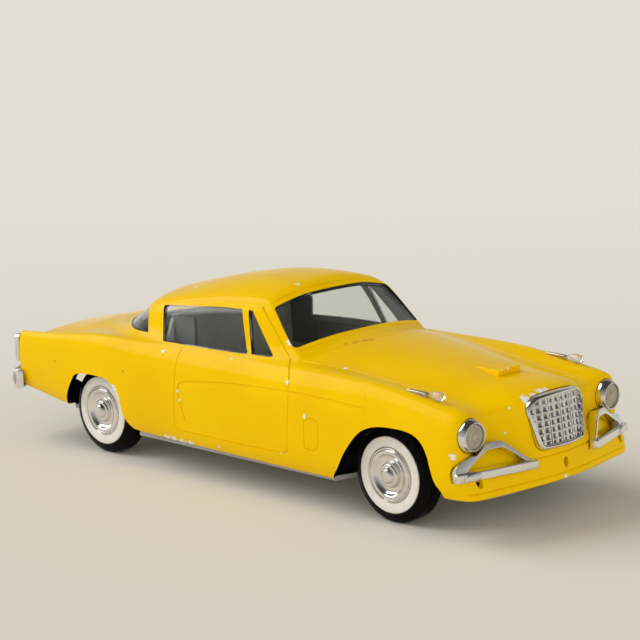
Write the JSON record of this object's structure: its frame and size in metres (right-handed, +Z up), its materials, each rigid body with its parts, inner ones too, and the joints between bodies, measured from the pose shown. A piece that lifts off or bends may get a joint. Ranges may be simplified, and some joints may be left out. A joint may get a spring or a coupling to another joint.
{
  "type": "model car",
  "caption": "Scale model of a two-door coupe: painted plastic shell with clear windows and plated trim on a chassis plate, with wheels on turning axles.",
  "frame": {"origin": "on the ground under the middle of the car: middle of the length and of the width, at the foot of the tyres", "axes": "+X to the front of the car, +Y to its left, +Z up"},
  "size_m": [0.2027, 0.0744, 0.059],
  "materials": {
    "yellow_paint": "glossy yellow paint on white plastic, chipped at the edges",
    "plated_trim": "bright plating, lightly worn",
    "grille_mesh": "plated waffle, dull in the cells",
    "clear_plastic": "clear plastic with fine scratches",
    "cream_lens": "cream lens with moulded rings",
    "lamp_plastic": "clear plastic, slightly pink",
    "red_lens": "red lens",
    "tyre_rubber": "black, ribbed tread",
    "whitewall": "off-white ring, slightly stained",
    "black_plastic": "moulded black",
    "grey_plastic": "moulded light grey",
    "steel": "drawn rod and screws"
  },
  "bodies": {
    "car": {"body_shell": "yellow_paint", "chassis_plate": "grey_plastic", "fender_lamp_lens_left": "lamp_plastic", "fender_lamp_lens_right": "lamp_plastic", "fender_lamp_stem_left": "plated_trim", "fender_lamp_stem_right": "plated_trim", "grille_frame": "plated_trim", "grille_mesh": "grille_mesh", "headlamp_bezel_left": "plated_trim", "headlamp_bezel_right": "plated_trim", "headlamp_lens_left": "cream_lens", "headlamp_lens_right": "cream_lens", "rear_bumper": "plated_trim", "rear_window": "clear_plastic", "screw_front_left": "steel", "screw_front_right": "steel", "screw_rear_left": "steel", "screw_rear_right": "steel", "side_glass_left": "clear_plastic", "side_glass_right": "clear_plastic", "side_grille_left": "plated_trim", "side_grille_right": "plated_trim", "tail_lamp_bezel_left": "plated_trim", "tail_lamp_bezel_right": "plated_trim", "tail_lamp_lens_left": "red_lens", "tail_lamp_lens_right": "red_lens", "windscreen": "clear_plastic"},
    "front_axle": {"axle_front": "steel", "tyre_front_left": "tyre_rubber", "tyre_front_right": "tyre_rubber", "wheel_cover_front_left": "plated_trim", "wheel_cover_front_right": "plated_trim", "wheel_hub_front_left": "black_plastic", "wheel_hub_front_right": "black_plastic", "whitewall_front_left": "whitewall", "whitewall_front_right": "whitewall"},
    "rear_axle": {"axle_rear": "steel", "tyre_rear_left": "tyre_rubber", "tyre_rear_right": "tyre_rubber", "wheel_cover_rear_left": "plated_trim", "wheel_cover_rear_right": "plated_trim", "wheel_hub_rear_left": "black_plastic", "wheel_hub_rear_right": "black_plastic", "whitewall_rear_left": "whitewall", "whitewall_rear_right": "whitewall"}
  },
  "joints": [
    {"name": "front_axle_spin", "type": "hinge", "parent": "car", "child": "front_axle", "pos_m": [0.0647, 0, 0.01366], "axis": [0, 1, 0], "continuous": true},
    {"name": "rear_axle_spin", "type": "hinge", "parent": "car", "child": "rear_axle", "pos_m": [-0.0577, 0, 0.01366], "axis": [0, 1, 0], "continuous": true}
  ]
}
